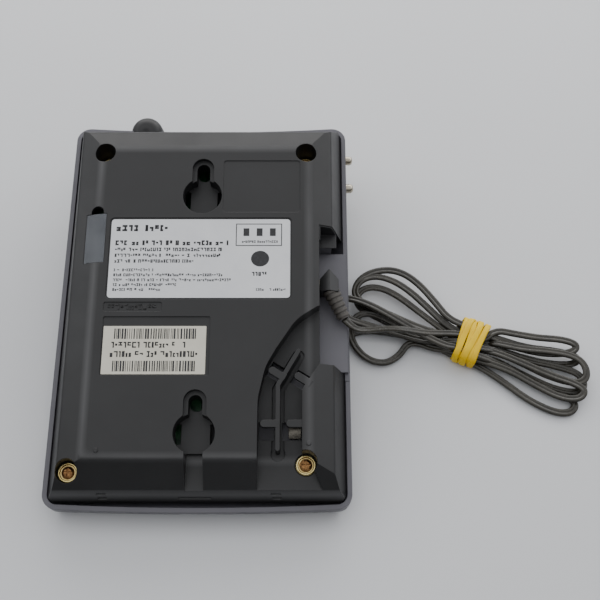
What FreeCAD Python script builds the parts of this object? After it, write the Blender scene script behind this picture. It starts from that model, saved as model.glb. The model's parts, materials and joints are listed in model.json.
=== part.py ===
"""Cordless phone base lying face down on its wall adapter, with the adapter's cord tied in a hank.

Base pieces are drawn in the base's own frame: x to the right, y to the rear, z out of the
underside, with z = 0 at the joint between the two casings. The base is then tipped about x
until its face rests on its front edge and on the adapter. The adapter and the cord are drawn
in the table's frame, +Z up. All sizes are in millimetres.
"""
import FreeCAD, Part
import math
import os

os.makedirs("parts", exist_ok=True)
V = FreeCAD.Vector

# --- casing -------------------------------------------------------------------------------
base_width = 140.0
base_length = 198.0
corner_radius = 7.0
rear_bow = 2.5            # the rear edge is hollow by this much, the front edge bulges
front_bow = 1.8
wall = 2.2
rim_height = 4.0
rim_width = 2.4
casing_gap = 0.5          # dark line between the two casings
face_depth = 12.5         # the face lies this far under the joint
face_draft = 6.0          # the upper casing's sides lean in by this much
rear_height = 23.5        # plateau over the joint, at its rear and front ends
front_height = 16.5
plateau_rear = 73.0       # from the centre to the plateau's rear and front ends
plateau_front = 79.5
shoulder_run = 11.0
shoulder_drop = 4.5
side_run = 5.2            # the side walls lean in by this much
ridge_half = 50.0         # half width of the plateau
ridge_radius = 9.0
front_slope_run = 12.5
front_wall_height = 5.8

# --- underside features -------------------------------------------------------------------
well_bore = 10.2
well_wall = 1.8
rear_well_x, rear_well_y = 49.3, 70.8
rear_well_floor = 8.0
front_left_well = (-57.4, -84.2)
front_right_well = (49.0, -80.9)
front_well_floor = 6.0
screw_head_radius = 4.7
screw_head_height = 2.3
screw_shank_radius = 1.45
screw_length = 6.0
keyhole_radius = 9.4
keyhole_slot = 10.4       # width of the recess, and of the open slot inside it
keyhole_open_slot = 6.3
keyhole_reach = 14.6      # from the big circle's centre to the slot's end centre
keyhole_depth = 8.5
keyhole_lip = 2.4
rear_keyhole_y = 47.3
front_keyhole_y = -68.6
keyhole_x = -0.8
cord_groove_width = 8.4
rating_label_size = (85.4, 39.9)
rating_label_at = (-1.0, 15.0)
serial_label_size = (47.3, 22.9)
serial_label_at = (-20.4, -30.2)
serial_recess_size = (49.5, 28.0)
serial_recess_at = (-19.85, -28.2)
label_thickness = 0.15
label_recess = 0.45
label_gap = 0.7
seal_size = (9.7, 24.8)
seal_at = (-51.3, 25.3)
seal_thickness = 0.15
channel_depth = 9.2
channel_x = 27.3          # left edge of the cord channel
island_x = 47.3           # left edge of the raised island right of it
rib_width = 2.0
finger_length = 7.6
finger_width = 3.4
finger_thickness = 1.8
notch_x = 55.5            # the side notch for the power plug
notch_front, notch_rear = -36.0, 33.0
panel_front, panel_rear = -39.5, 25.3
panel_floor = 2.4

# --- face side ----------------------------------------------------------------------------
cradle_left, cradle_right = 4.5, 59.5
cradle_waist_x = 51.2     # the cradle's right side in front of its step
cradle_step_y = 27.6
cradle_front = -75.0
cradle_shallow = -4.0
crest_y, crest_z = 30.0, 6.5      # the cradle floor's highest line rests on the adapter
cradle_rear_z = -3.0
key_proud = 1.5
key_travel = 1.0
key_gap = 0.3
flange_width = 1.0
flange_thickness = 1.0
contact_travel = 1.5
board_z = -1.5
board_thickness = 1.6
dial_pitch = (15.0, 11.5)
dial_size = (11.5, 7.5)
dial_centre = (-28.4, -31.0)
function_keys = {
    "play_stop_key": (-31.0, -62.0, 22.0, 8.0),
    "skip_back_key": (-50.0, -62.0, 9.0, 7.0),
    "skip_forward_key": (-12.0, -62.0, 9.0, 7.0),
    "erase_key": (-50.0, -75.0, 9.0, 6.0),
    "answer_key": (-31.0, -75.0, 14.0, 6.0),
    "speakerphone_key": (-12.0, -75.0, 9.0, 7.0),
    "locator_key": (-6.5, 20.0, 8.0, 11.0),
}
rocker_at = (-56.4, -31.0)
rocker_size = (7.0, 22.0)
pivot_z, pivot_radius = -8.6, 1.0
mat_dome_height = 2.4
mat_thickness = 1.1
window_at = (-37.0, 20.0)
window_size = (44.0, 17.0)
speaker_at = (-27.0, 62.0)
speaker_radius = 18.0
antenna_x = -34.2
antenna_setback = 2.4        # its axis lies this far inside the rear edge
antenna_radius = 8.3
antenna_length = 26.0
antenna_lean = 20.0

# --- sockets ------------------------------------------------------------------------------
socket_y = (24.6, 31.8)
socket_z = (9.2, 16.3)
socket_wall = 0.9

# --- power plug, adapter and cord ---------------------------------------------------------
plug_y, plug_z = 5.6, 10.4
plug_size = (9.0, 9.4, 9.6)
barrel_radius = 2.75
adapter_height = 38.0
adapter_x = (9.0, 55.8)
adapter_y = (29.6, 100.5)
adapter_wall = 2.5
adapter_round = 4.0
rest_gap = 0.2
pin_radius = 2.4
pin_root_radius = 1.9
pin_length = 19.0
pin_spacing = 19.0
pin_setback = 14.7        # from the adapter's rear end to the pins' centre
cord_width = 3.7
cord_thickness = 1.95
adapter_relief_x = 30.0
adapter_relief_z = 9.0
adapter_relief_length = 14.0
fit = 0.15                # gap around pieces that drop into each other

half_w, half_l = base_width / 2, base_length / 2
plateau_slope = (rear_height - front_height) / (plateau_rear + plateau_front)
plateau_mid = front_height + plateau_slope * plateau_front
slope_angle = math.degrees(math.atan(plateau_slope))
face_inner = -face_depth + wall
antenna_y = base_length / 2 - antenna_setback

# The base turns about x until the cradle's crest touches the adapter's upper edge.
edge_y = -half_l + face_draft
lift_y, lift_z = crest_y - edge_y, crest_z + face_depth
tilt = math.asin((adapter_height + rest_gap) / math.hypot(lift_y, lift_z)) - math.atan2(lift_z, lift_y)


def plateau_at(y):
    """Height of the plateau, or of its extension, at y."""
    return plateau_mid + plateau_slope * y


# --- building blocks ----------------------------------------------------------------------
def box(x0, x1, y0, y1, z0, z1):
    return Part.makeBox(x1 - x0, y1 - y0, z1 - z0, V(x0, y0, z0))


def rod(x, y, z0, z1, radius):
    return Part.makeCylinder(radius, z1 - z0, V(x, y, z0))


def rod_x(x0, x1, y, z, radius):
    return Part.makeCylinder(radius, x1 - x0, V(x0, y, z), V(1, 0, 0))


def rod_y(x, y0, y1, z, radius):
    return Part.makeCylinder(radius, y1 - y0, V(x, y0, z), V(0, 1, 0))


def fuse(shapes):
    first, *rest = shapes
    return (first.multiFuse(rest) if rest else first).removeSplitter()


def cut(shape, tools):
    return shape.cut(tools) if not isinstance(tools, list) else shape.cut(Part.makeCompound(tools))


def corner_arcs(points, radii):
    """Closed wire through the points, each corner rounded by an arc of its radius."""
    count = len(points)
    starts, ends, edges = [], [], []
    for i, (point, radius) in enumerate(zip(points, radii)):
        before = (points[i - 1] - point).normalize()
        after = (points[(i + 1) % count] - point).normalize()
        turn = math.pi - before.getAngle(after)
        reach = radius * math.tan(turn / 2)
        starts.append(point + before * reach)
        ends.append(point + after * reach)
    for i, (point, radius) in enumerate(zip(points, radii)):
        if radius > 0:
            toward = ((starts[i] + ends[i]) * 0.5 - point).normalize()
            spread = (starts[i] - point).getAngle(toward)
            middle = point + toward * (radius / math.sin(spread) - radius)
            edges.append(Part.Arc(starts[i], middle, ends[i]).toShape())
        following = starts[(i + 1) % count]
        if ends[i].distanceToPoint(following) > 1e-6:
            edges.append(Part.LineSegment(ends[i], following).toShape())
    return Part.Wire(edges)


def prism(points, z0, z1, radius=0.0):
    """Upright prism on an x, y outline."""
    corners = [V(x, y, z0) for x, y in points]
    return Part.Face(corner_arcs(corners, [radius] * len(corners))).extrude(V(0, 0, z1 - z0))


def rounded_box(x0, x1, y0, y1, z0, z1, radius):
    return prism([(x0, y0), (x1, y0), (x1, y1), (x0, y1)], z0, z1, radius)


def centred(at, size, z0, z1, radius=0.0, grow=0.0):
    """Upright rounded block centred at a point, wider by grow on every side."""
    hx, hy = size[0] / 2 + grow, size[1] / 2 + grow
    return rounded_box(at[0] - hx, at[0] + hx, at[1] - hy, at[1] + hy, z0, z1, radius)


def on_plateau(shape):
    """Carries a shape drawn about the plateau's own plane to its place."""
    shape.rotate(V(0, 0, 0), V(1, 0, 0), slope_angle)
    shape.translate(V(0, 0, plateau_mid))
    return shape


def tip(shape, shift=None):
    """Carries a base piece from the base's frame to the table's."""
    moved = shape.copy()
    moved.rotate(V(0, 0, 0), V(1, 0, 0), math.degrees(tilt))
    moved.translate(V(0, base_forward, base_up) if shift is None else shift)
    return moved


def tip_point(x, y, z):
    """Place on the table of a point of the base's frame."""
    return V(x, y * math.cos(tilt) - z * math.sin(tilt) + base_forward,
             y * math.sin(tilt) + z * math.cos(tilt) + base_up)


def save(name, shape, on_base=True):
    shape = tip(shape) if on_base else shape
    shape.exportStep("parts/" + name + ".step")
    built[name] = shape


built = {}


# --- casing outlines ----------------------------------------------------------------------
def plan(inset, z0, z1):
    """The casing's plan: a rounded oblong with a hollow rear edge and a bulging front edge."""
    x, rear, front = half_w - inset, half_l - inset, -half_l + inset
    left_front, right_front = V(-x, front, z0), V(x, front, z0)
    right_rear, left_rear = V(x, rear, z0), V(-x, rear, z0)
    edges = [
        Part.Arc(left_front, V(0, front - front_bow, z0), right_front).toShape(),
        Part.LineSegment(right_front, right_rear).toShape(),
        Part.Arc(right_rear, V(0, rear - rear_bow, z0), left_rear).toShape(),
        Part.LineSegment(left_rear, left_front).toShape(),
    ]
    block = Part.Face(Part.Wire(edges)).extrude(V(0, 0, z1 - z0))
    upright = [e for e in block.Edges if abs(e.Vertexes[0].X - e.Vertexes[-1].X) < 1e-6
               and abs(e.Vertexes[0].Y - e.Vertexes[-1].Y) < 1e-6]
    return block.makeFillet(max(corner_radius - inset, 1.5), upright)


def bowl(inset):
    """Body of the lower casing, drawn in by inset on every side: plan, side and end profiles."""
    edge = rim_width + casing_gap
    low = -1.0
    front, rear = -half_l + edge + inset, half_l - edge + inset * -1.0
    drop = inset
    side = [
        V(0, front, low), V(0, -plateau_front - front_slope_run + inset, front_wall_height + 1.0 - drop),
        V(0, -plateau_front + inset, plateau_at(-plateau_front) - drop),
        V(0, plateau_rear, plateau_at(plateau_rear) - drop),
        V(0, plateau_rear + shoulder_run - inset, plateau_at(plateau_rear) - 3.0 - drop),
        V(0, rear, 0.5), V(0, rear, low),
    ]
    wire = corner_arcs(side, [0, 2.0, 3.5, ridge_radius * 2, 2.5, 0, 0])
    side_block = Part.Face(wire).extrude(V(2 * half_w, 0, 0))
    side_block.translate(V(-half_w, 0, 0))
    ends = [end_profile(y, half_w - edge - inset, inset, low) for y in (-half_l - 15, half_l + 15)]
    end_block = Part.makeLoft(ends, True, True)
    return plan(edge + inset, low, rear_height + 8).common(side_block).common(end_block)


def end_profile(y, foot_x, inset, low):
    """The lower casing's section across x: leaning side walls, shoulders and the plateau."""
    top = plateau_at(y) - inset
    shoulder_x, shoulder_z = foot_x - side_run, top - shoulder_drop
    corners = [V(-foot_x, y, low), V(-foot_x, y, 0), V(-shoulder_x, y, shoulder_z), V(-ridge_half, y, top),
               V(ridge_half, y, top), V(shoulder_x, y, shoulder_z), V(foot_x, y, 0), V(foot_x, y, low)]
    return corner_arcs(corners, [0, 0, 2.2, ridge_radius * 2, ridge_radius * 2, 2.2, 0, 0])


def upper_solid(inset):
    """Body of the upper casing, drawn in by inset: its sides lean in towards the face."""
    y, x, floor = half_l + front_bow - inset, half_w - inset, -face_depth + inset
    rim = -rim_height + inset
    side = [V(0, -y, 1), V(0, -y, rim), V(0, -y + face_draft, floor),
            V(0, y - face_draft, floor), V(0, y, rim), V(0, y, 1)]
    side_block = Part.Face(corner_arcs(side, [0, 2, 2, 2, 2, 0])).extrude(V(2 * half_w, 0, 0))
    side_block.translate(V(-half_w, 0, 0))
    end = [V(-x, -half_l - 5, 1), V(-x, -half_l - 5, rim), V(-x + face_draft, -half_l - 5, floor),
           V(x - face_draft, -half_l - 5, floor), V(x, -half_l - 5, rim), V(x, -half_l - 5, 1)]
    end_block = Part.Face(corner_arcs(end, [0, 2, 2, 2, 2, 0])).extrude(V(0, base_length + 10, 0))
    return plan(inset, -face_depth - 1, 0.0).common(side_block).common(end_block)


def keyhole(centre_y, radius, slot, z0, z1):
    """Round hole with a slot towards the rear, both about the keyhole's centre line."""
    circle = rod(keyhole_x, centre_y, z0, z1, radius)
    end = rod(keyhole_x, centre_y + keyhole_reach, z0, z1, slot / 2)
    bar = box(keyhole_x - slot / 2, keyhole_x + slot / 2, centre_y, centre_y + keyhole_reach, z0, z1)
    return fuse([circle, bar, end])


channel_outline = [
    (channel_x, -half_l - 1), (channel_x, -52.8), (30.6, -38.0), (35.6, -29.2), (44.4, -15.8),
    (notch_x - 1.0, -8.6), (notch_x + 12, -4.0), (notch_x + 12, -34.8), (notch_x + 0.6, -34.8),
    (island_x, -48.6), (island_x, -79.0), (53.4, -85.4), (59.4, -half_l - 1),
]
channel_radii = [0, 25, 25, 20, 20, 2, 0, 0, 2, 2, 2, 2, 0]
rib_points = [(45.6, -30.6), (36.4, -46.6), (36.4, -75.6)]


def band_path(points, width, z0, z1):
    """Upright bar of constant width along a bent centre line, with rounded ends."""
    pieces = []
    for (x0, y0), (x1, y1) in zip(points, points[1:]):
        run = V(x1 - x0, y1 - y0, 0)
        side = V(-run.y, run.x, 0).normalize() * (width / 2)
        corners = [(x0 + side.x, y0 + side.y), (x0 - side.x, y0 - side.y),
                   (x1 - side.x, y1 - side.y), (x1 + side.x, y1 + side.y)]
        pieces.append(prism(corners, z0, z1))
    pieces += [rod(x, y, z0, z1, width / 2) for x, y in points]
    return fuse(pieces)


def finger(root_x, y, angle):
    """Round-ended finger that holds the cord down, pointing left from its root."""
    top = -0.25
    bar = box(-finger_length + finger_width / 2, 0.8, -finger_width / 2, finger_width / 2,
              top - finger_thickness, top)
    end = rod(-finger_length + finger_width / 2, 0, top - finger_thickness, top, finger_width / 2)
    shape = fuse([bar, end])
    shape.rotate(V(0, 0, 0), V(0, 0, 1), angle)
    shape.translate(V(root_x, y, 0))
    return shape


pip_radius = 1.0
pip_height = 0.5
pip_places = [(-43.8, -76.2), (50.3, -73.1)]

wells = [(-rear_well_x, rear_well_y, rear_well_floor), (rear_well_x, rear_well_y, rear_well_floor),
         (*front_left_well, front_well_floor), (*front_right_well, front_well_floor)]


def lower_case():
    outer, inner = bowl(0), bowl(wall)
    shell = outer.cut(inner)
    deep = -channel_depth - wall
    additions = [shell]
    for centre_y in (rear_keyhole_y, front_keyhole_y):
        cup = keyhole(centre_y, keyhole_radius + 1.6, keyhole_slot + 3.2, -keyhole_depth - 1.6, 3)
        additions.append(on_plateau(cup).common(outer))
    for x, y, floor in wells:
        additions.append(rod(x, y, floor - 2, 40, well_bore / 2 + well_wall).common(outer))
    channel_block = on_plateau(box(channel_x - 1.8, half_w, -half_l, -2.0, deep, 5))
    additions.append(channel_block.common(outer))
    additions.append(box(notch_x - 1.8, half_w, notch_front - 1.8, notch_rear + 1.8, 0.2, 40).common(outer))
    groove_floor = front_wall_height + 0.6
    groove_half = cord_groove_width / 2
    groove_end = front_keyhole_y - keyhole_radius + 2
    additions.append(box(keyhole_x - groove_half - 1.6, keyhole_x + groove_half + 1.6, -half_l,
                         groove_end, groove_floor - 1.8, 40).common(outer))
    body = fuse(additions)

    corners = [V(x, y, -channel_depth) for x, y in channel_outline]
    channel = on_plateau(Part.Face(corner_arcs(corners, channel_radii)).extrude(V(0, 0, channel_depth + 6)))
    rib_groove = on_plateau(band_path(rib_points, rib_width + 3.6, -channel_depth - 1.2, 6)
                            .fuse(rod(36.4, -76.5, -channel_depth - 1.2, 6, rib_width / 2 + 2.2)))
    body = cut(body, [channel, rib_groove])
    hollow = on_plateau(box(island_x + 2.2, 60.0, -72.0, -49.0, -30, -wall))
    body = cut(body, [hollow.common(inner)])
    rib = on_plateau(band_path(rib_points, rib_width, -channel_depth - 1.4, -0.3))
    fingers = [finger(38.9, -43.0, -32), finger(50.6, -45.6, -32), finger(36.2, -64.2, 0),
               finger(island_x + 0.6, -64.2, 0)]
    pips = [on_plateau(rod(x, y, -wall / 2, pip_height, pip_radius)) for x, y in pip_places]
    body = fuse([body, rib] + [on_plateau(f) for f in fingers] + pips)

    cuts = []
    under = -channel_depth - wall - 1
    slots = [box(channel_x + 0.3, 34.6, -70.2, -62.0, under, -channel_depth + 1),
             box(38.2, island_x - 0.2, -70.2, -62.0, under, -channel_depth + 1)]
    angled = box(-6.8, 0, -3.6, 3.6, under, -channel_depth + 1)
    for x, y in ((37.9, -40.0), (49.4, -43.8)):
        hole = angled.copy()
        hole.rotate(V(0, 0, 0), V(0, 0, 1), -32)
        hole.translate(V(x, y, 0))
        slots.append(hole)
    cuts += [on_plateau(s) for s in slots]
    for centre_y in (rear_keyhole_y, front_keyhole_y):
        recess = keyhole(centre_y, keyhole_radius, keyhole_slot, -keyhole_lip, 6)
        pocket = keyhole(centre_y, keyhole_radius, keyhole_open_slot, -keyhole_depth, 6)
        cuts += [on_plateau(recess), on_plateau(pocket)]
        for side in (-1, 1):
            window = box(-1.3, 1.3, -4.6, 4.6, -keyhole_depth - 3, -keyhole_depth + 2)
            window.translate(V(keyhole_x + side * (keyhole_radius - 1.5), centre_y + 1.0, 0))
            cuts.append(on_plateau(window))
        opening = rod(keyhole_x, centre_y + keyhole_reach, -keyhole_depth - 3, 0, keyhole_open_slot / 2)
        cuts.append(on_plateau(opening))
    cuts.append(box(keyhole_x - groove_half, keyhole_x + groove_half, -half_l, groove_end, groove_floor, 40))
    for x, y, floor in wells:
        cuts += [rod(x, y, floor, 45, well_bore / 2), rod(x, y, floor - 4, floor + 1, screw_shank_radius + 0.2)]
    cuts.append(on_plateau(centred(rating_label_at, rating_label_size, -label_recess, 6, 2.0, label_gap)))
    cuts.append(on_plateau(centred(serial_recess_at, serial_recess_size, -label_recess, 6, 0.8)))
    cuts.append(seal_film(-3.0, seal_thickness + 0.05, 0.3))
    cuts.append(on_plateau(centred((-31.4, -9.4), (27.2, 4.6), -0.35, 6, 1.0)))
    cuts.append(on_plateau(centred((27.8, 52.4), (37.3, 27.6), -0.3, 6, 1.5)))
    cuts.append(on_plateau(rod(seal_at[0] + 0.3, seal_at[1] + seal_size[1] / 2 + 1.0, -wall - 3, 6, 3.1)))
    cuts.append(box(notch_x, half_w, notch_front, notch_rear, -2, 40))
    cuts += [cradle(wall + 0.25), antenna_solid(0.3)]
    cuts.append(rod_x(notch_x - 3, notch_x + 1, plug_y, plug_z, barrel_radius + 0.6))
    cuts.append(box(notch_x - 3, notch_x + 1, *socket_y, *socket_z))
    front_y = -half_l + rim_width
    for x in (-42.6, 35.6):
        cuts.append(box(x - 2.2, x + 2.2, front_y, front_y + 7.5, 3.6, 4.8))
        cuts.append(box(x - 1.6, x + 2.4, front_y, front_y + 7.5, 0.9, 2.3))
    cuts.append(box(keyhole_x - 7.4, keyhole_x + 7.4, front_y - 2, front_y + 7.5, 1.2, 2.4))
    body = cut(body, cuts)
    solids = sorted(body.Solids, key=lambda s: -s.Volume)
    return solids[0]


def side_panel():
    """Side piece under the power plug: a floor and the stretch of rim beside it."""
    inner_edge = rim_width
    band = plan(0, -rim_height + 0.2, 0).cut(plan(inner_edge, -rim_height - 1, 1))
    span = box(notch_x + 0.2, half_w + 2, panel_front + fit, panel_rear - fit, -rim_height, 30)
    rim = band.common(span)
    floor = plan(0.9, panel_floor - 1.8, panel_floor).common(
        box(notch_x + fit, half_w, notch_front + fit, panel_rear - fit, -1, 30))
    web = plan(0.9, -1.0, panel_floor - 1.0).cut(plan(inner_edge, -3, 9)).common(
        box(0, half_w, notch_front + fit, panel_rear - fit, -1.0, 30))
    return fuse([rim, floor, web])


def cradle(grow):
    """Trough for the handset, as a solid drawn out by grow: its floor is highest at the crest,
    and it is wider behind the side notch."""
    y0 = cradle_front - grow
    profile = [V(0, y0, -face_depth - 5), V(0, y0, cradle_shallow + grow), V(0, crest_y, crest_z + grow),
               V(0, half_l + 5, cradle_rear_z + grow), V(0, half_l + 5, -face_depth - 5)]
    block = Part.Face(corner_arcs(profile, [0, 3, 20, 0, 0])).extrude(
        V(cradle_right - cradle_left + 2 * grow, 0, 0))
    block.translate(V(cradle_left - grow, 0, 0))
    beside = box(cradle_waist_x + grow, half_w, y0 - 5, cradle_step_y - grow, -40, 40)
    return block.cut(beside)


def antenna_solid(grow):
    """Stub with a domed end and a shallow dimple in it, leaning back."""
    r = antenna_radius + grow
    top, low = 1.5 + grow, 1.5 - antenna_length - grow
    profile = [V(0, 0, low), V(r * 0.8, 0, low), V(r * 0.95, 0, low + 3), V(r, 0, top - 5), V(r * 0.86, 0, top - 1.4),
               V(0, 0, top)]
    stub = Part.Face(corner_arcs(profile, [0, 2, 3, 4, 5, 0])).revolve(V(0, 0, 0), V(0, 0, 1), 360)
    if grow == 0:
        stub = stub.cut(Part.makeSphere(9, V(0, 0, top + 8.4)))
    stub.rotate(V(0, 0, 0), V(1, 0, 0), antenna_lean)
    stub.translate(V(antenna_x, antenna_y, 0))
    return stub


def dial_keys():
    """Place and size of each dial key by name."""
    keys = {}
    names = [["1", "2", "3"], ["4", "5", "6"], ["7", "8", "9"], ["star", "0", "hash"]]
    for row, labels in enumerate(names):
        for column, label in enumerate(labels):
            x = dial_centre[0] + (column - 1) * dial_pitch[0]
            y = dial_centre[1] + (1.5 - row) * dial_pitch[1]
            keys["dial_key_" + label] = (x, y, *dial_size)
    return keys


all_keys = {**dial_keys(), **function_keys}
contact_places = {"left_charge_contact": (20.0, -62.0), "right_charge_contact": (44.0, -62.0)}
board_outline = (-63.0, 0.5, -88.0, 90.0)
standoffs = [(-58.5, -52.0), (-58.5, 35.0), (-3.0, -45.0), (-3.0, 36.0)]


def upper_case():
    shell = upper_solid(0).cut(upper_solid(wall).fuse(plan(wall, -1.5, 1)))
    body_room = upper_solid(0)
    additions = [shell, cradle(wall).common(plan(0.5, -face_depth, 20))
                 .common(body_room.fuse(plan(rim_width + casing_gap + wall + 1.0, -1, 20)))]
    for x, y, floor in wells:
        foot = -face_depth + 1.0
        additions.append(rod(x, y, foot, floor - 2 - 0.1, 3.6).common(
            plan(wall, -face_depth, 20)))
    for x, y in standoffs:
        additions.append(rod(x, y, -face_depth + 1, board_z, 2.6))
    rocker_x, rocker_y = rocker_at
    for side in (-1, 1):
        ear_x = rocker_x + side * (rocker_size[0] / 2 + 1.6)
        ear = box(ear_x - 0.8, ear_x + 0.8, rocker_y - 2.4, rocker_y + 2.4, -face_depth + 1, pivot_z + 2.0)
        additions.append(ear.cut(rod_x(ear_x - 2, ear_x + 2, rocker_y, pivot_z, pivot_radius + 0.06)))
    body = fuse(additions)
    cuts = [cradle(0).common(plan(-5, -face_depth - 5, 20))]
    for x, y, floor in wells:
        cuts.append(rod(x, y, floor - screw_length - 0.5, floor, screw_shank_radius + 0.02))
    for x, y in standoffs:
        cuts.append(rod(x, y, board_z - 6, board_z + 1, 1.0))
    for x, y, w, l in all_keys.values():
        cuts.append(centred((x, y), (w, l), -face_depth - 2, face_inner + 1, 1.4 + key_gap, key_gap))
    cuts.append(centred(rocker_at, rocker_size, -face_depth - 2, face_inner + 1, 1.6, 0.5))
    cuts.append(centred(window_at, window_size, -face_depth - 2, face_inner + 1, 1.5, -1.5))
    cuts.append(centred(window_at, window_size, -face_depth - 2, -face_depth + 1.2, 1.5, fit))
    for step in range(-3, 4):
        half = math.sqrt(max(speaker_radius ** 2 * 0.72 - (step * 4.4) ** 2, 9.0))
        slot = rounded_box(speaker_at[0] - half, speaker_at[0] + half, speaker_at[1] + step * 4.4 - 0.9,
                           speaker_at[1] + step * 4.4 + 0.9, -face_depth - 2, face_inner + 1, 0.8)
        cuts.append(slot)
    for x, y in contact_places.values():
        cuts.append(box(x - 2.0, x + 2.0, y - 4.5, y + 4.5, -9, 8))
    cuts.append(centred((-37.0, 34.5), (16.0, 3.0), -face_depth - 2, face_inner + 1, 1.2, fit))
    cuts.append(rod(-42.0, -88.5, -face_depth - 2, face_inner + 1, 0.8))
    cuts.append(antenna_solid(0.25))
    span = box(notch_x, half_w + 2, panel_front, panel_rear, -rim_height, 30)
    cuts.append(plan(-2, -rim_height, 2).cut(plan(rim_width + 0.3, -rim_height - 1, 3)).common(span))
    body = cut(body, cuts)
    solids = sorted(body.Solids, key=lambda s: -s.Volume)
    return solids[0]


# --- pieces of the base -------------------------------------------------------------------
def case_screw(x, y, floor):
    """Washer-headed screw: a raised outer ring, a groove and a domed middle with a cross in it."""
    r, h = screw_head_radius, screw_head_height
    profile = [V(0, 0, 0), V(r, 0, 0), V(r, 0, h * 0.45), V(r - 0.5, 0, h * 0.62), V(r - 0.9, 0, h * 0.62),
               V(r - 1.3, 0, h * 0.3), V(r * 0.6, 0, h * 0.3), V(r * 0.55, 0, h * 0.75), V(r * 0.3, 0, h), V(0, 0, h)]
    head = Part.Face(corner_arcs(profile, [0] * len(profile))).revolve(V(0, 0, 0), V(0, 0, 1), 360)
    arm = r * 0.42
    cross = [box(-arm, arm, -0.42, 0.42, h - 1.0, h + 1), box(-0.42, 0.42, -arm, arm, h - 1.0, h + 1)]
    screw = cut(head.fuse(rod(0, 0, -screw_length, 0.1, screw_shank_radius)), [fuse(cross)])
    screw.rotate(V(0, 0, 0), V(0, 0, 1), 11.0 * x)
    screw.translate(V(x, y, floor))
    return screw


def group(shapes):
    return Part.makeCompound(shapes)


def label(at, size, radius):
    return on_plateau(centred(at, size, -label_recess, -label_recess + label_thickness, radius))


def seal_film(outer, inner, grow):
    """Film that follows the casing over its ridge, between two insets, wider by grow."""
    (x, y), (w, l) = seal_at, seal_size
    film = bowl(outer).cut(bowl(inner))
    return film.common(box(x - w / 2 - grow, x + w / 2 + grow, y - l / 2 - grow, y + l / 2 + grow, 5, 40))


def key(x, y, w, l):
    """Key cap in its hole, the flange that keeps it in and the stem that presses the mat."""
    cap = centred((x, y), (w, l), -face_depth - key_proud, face_inner + 0.5, 1.4)
    top = [e for e in cap.Edges if e.BoundBox.ZMax < -face_depth - key_proud + 0.01]
    cap = cap.makeFillet(0.6, top)
    flange = centred((x, y), (w, l), face_inner + 0.05, face_inner + 0.05 + flange_thickness, 1.4, flange_width)
    stem = rod(x, y, face_inner + 0.5, stem_top, 2.0)
    return fuse([cap, flange, stem])


dome_low = board_z - mat_thickness - mat_dome_height
stem_top = dome_low - key_travel - 0.25


def volume_rocker():
    """Rocker on a cross pin, with a stem near each end."""
    (x, y), (w, l) = rocker_at, rocker_size
    cap = centred((x, y), (w, l), -face_depth - key_proud, pivot_z + 1.6, 1.6)
    rounded = [e for e in cap.Edges if e.BoundBox.ZMax < -face_depth - key_proud + 0.01]
    cap = cap.makeFillet(0.8, rounded)
    pin = rod_x(x - w / 2 - 2.2, x + w / 2 + 2.2, y, pivot_z, pivot_radius)
    stems = [rod(x, y + side * 7.0, pivot_z, stem_top, 1.8) for side in (-1, 1)]
    return fuse([cap, pin] + stems)


def key_mat():
    """Rubber sheet on the board with a dome over every switch."""
    sheet = box(-60.5, -5.0, -80.0, -9.0, board_z - mat_thickness, board_z).fuse(
        box(-13.0, -1.5, -9.5, 27.0, board_z - mat_thickness, board_z))
    places = [(x, y) for x, y, w, l in all_keys.values()]
    places += [(rocker_at[0], rocker_at[1] + side * 7.0) for side in (-1, 1)]
    domes = [Part.makeCone(2.2, 3.4, mat_dome_height + 0.3, V(x, y, dome_low)) for x, y in places]
    mat = fuse([sheet] + domes)
    holes = [rod(x, y, -10, 2, 3.1) for x, y in standoffs]
    holes += [rod(x, y, -12, 2, 4.0) for x, y, floor in wells]
    return cut(mat, holes)


def main_board():
    x0, x1, y0, y1 = board_outline
    top = board_z + board_thickness
    plate = box(x0, x1, y0, y1, board_z, top)
    chips = [box(-40, -26, -30, -16, top, top + 1.6), box(-52, -42, 6, 20, top, top + 1.4),
             box(-20, -12, -70, -58, top, top + 2.2), rod(-50, -64, top, top + 9, 4.0),
             rod(-38, -66, top, top + 8, 3.2), rod(-52, 44, top, top + 7, 3.2)]
    board = fuse([plate] + chips)
    holes = [rod(x, y, board_z - 1, top + 1, 1.3) for x, y in standoffs]
    holes += [rod(x, y, board_z - 1, top + 1, 4.4) for x, y, floor in wells]
    return cut(board, holes)


def board_screws():
    top = board_z + board_thickness
    return group([rod(x, y, top, top + 1.3, 2.3).fuse(rod(x, y, board_z - 5, top + 0.1, 0.95)) for x, y in standoffs])


def radio_can():
    """Folded metal screen over the radio, open towards the board."""
    top = board_z + board_thickness
    can = box(-42.0, -14.0, 48, 84, top, top + 5.5)
    return can.cut(box(-41.5, -14.5, 48.5, 83.5, top - 1, top + 5.0)).cut(
        group([rod(-36 + 8 * i, 56 + 10 * j, top, top + 9, 1.0) for i in range(3) for j in range(3)]))


def dc_jack():
    y, z = plug_y, plug_z
    block = box(43.0, notch_x - 1.9, y - 4.6, y + 4.6, z - 3.5, z + 3.9)
    bore = rod_x(45.0, notch_x, y, z, barrel_radius + 0.2)
    return block.cut(bore).fuse(rod_x(44.0, 53.0, y, z, 0.8))


def line_jack():
    (y0, y1), (z0, z1), wide = socket_y, socket_z, socket_wall
    block = box(41.0, notch_x - 1.9, y0 - wide, y1 + wide, z0 - 0.3, z1 + wide)
    hollow = box(43.0, notch_x, y0, y1, z0, z1)
    wires = [box(43.0, 52.0, y0, y0 + 0.4, z0 + 2.4 + 1.1 * i, z0 + 2.8 + 1.1 * i) for i in range(4)]
    return fuse([block.cut(hollow)] + wires)


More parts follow.
